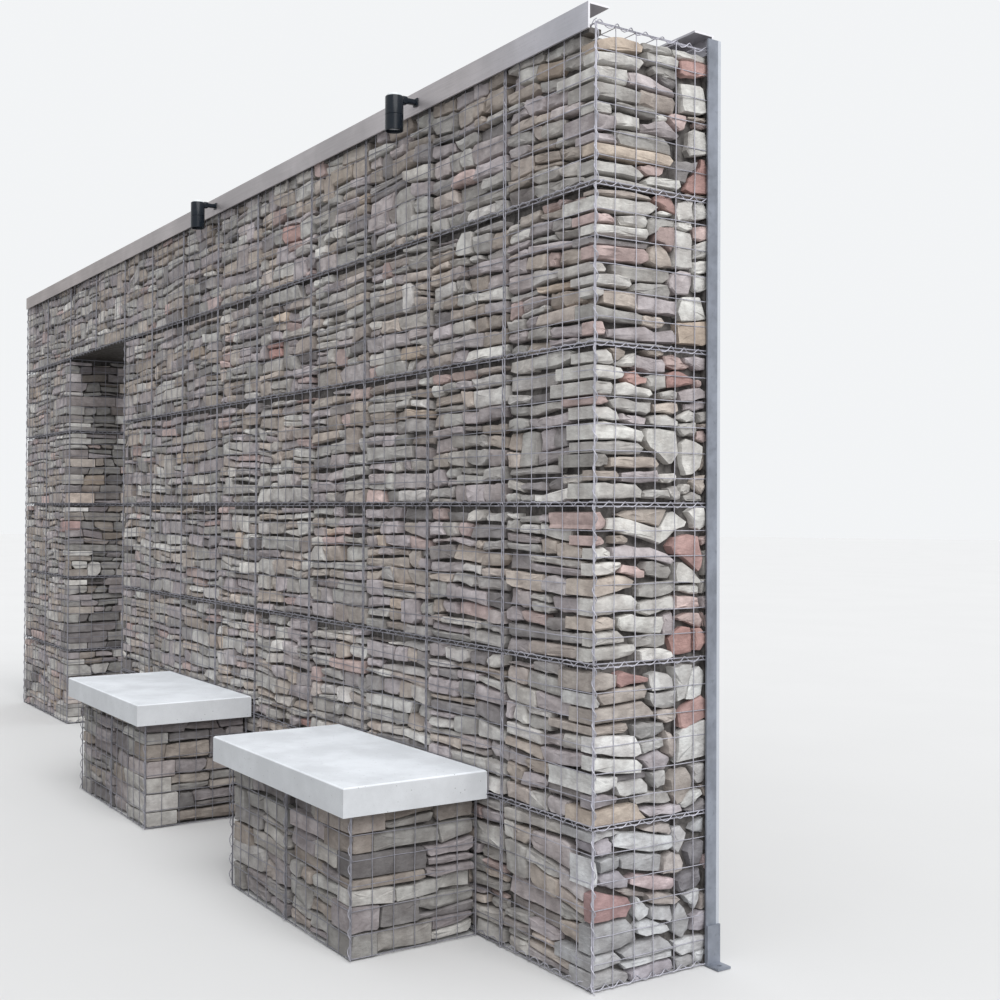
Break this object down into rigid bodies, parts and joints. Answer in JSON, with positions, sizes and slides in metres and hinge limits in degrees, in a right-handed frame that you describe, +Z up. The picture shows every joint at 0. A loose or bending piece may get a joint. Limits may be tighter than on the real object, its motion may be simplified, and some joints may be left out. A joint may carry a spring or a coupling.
{
  "type": "gabion wall with a doorway and two benches",
  "caption": "Free-standing gabion wall of stone-filled wire baskets with a doorway, a steel coping, hanging lamps and benches with concrete caps.",
  "frame": {"origin": "centre of the wall's base, on the ground, midway through its thickness", "axes": "+X along the wall towards its near end, +Y towards its back, +Z up"},
  "size_m": [6.4388, 0.9842, 2.8003],
  "materials": {
    "sandstone": "rough split faces",
    "galvanised_wire": "dull zinc",
    "galvanised_steel": "dull zinc with pale edges",
    "coping_steel": "weathered mill finish",
    "black_metal": "satin black powder coat",
    "lamp_glass": "frosted",
    "cast_concrete": "smooth cast face"
  },
  "bodies": {
    "root": {"back_coping": "coping_steel", "back_coping_cleats": "galvanised_steel", "back_frame_far": "galvanised_wire", "back_frame_near": "galvanised_wire", "back_frame_over_doorway": "galvanised_wire", "doorway_far_frame": "galvanised_wire", "doorway_near_frame": "galvanised_wire", "far_bench_basket": "galvanised_wire", "far_bench_cap": "cast_concrete", "far_bench_stones": "sandstone", "far_end_frame": "galvanised_wire", "far_end_post": "galvanised_steel", "front_coping": "coping_steel", "front_coping_cleats": "galvanised_steel", "front_frame_far": "galvanised_wire", "front_frame_near": "galvanised_wire", "front_frame_over_doorway": "galvanised_wire", "lamp_arms": "black_metal", "lamp_housings": "black_metal", "lamp_lenses": "lamp_glass", "lid_frame": "galvanised_wire", "lintel_plate": "galvanised_steel", "near_bench_basket": "galvanised_wire", "near_bench_cap": "cast_concrete", "near_bench_stones": "sandstone", "near_end_frame": "galvanised_wire", "near_end_post": "galvanised_steel", "post_feet": "galvanised_steel", "stone_course_1_far": "sandstone", "stone_course_1_near": "sandstone", "stone_course_2_far": "sandstone", "stone_course_2_near": "sandstone", "stone_course_3_far": "sandstone", "stone_course_3_near": "sandstone", "stone_course_4_far": "sandstone", "stone_course_4_near": "sandstone", "stone_course_5_far": "sandstone", "stone_course_5_near": "sandstone", "top_course_far": "sandstone", "top_course_near": "sandstone", "top_course_over_doorway": "sandstone"}
  },
  "joints": []
}
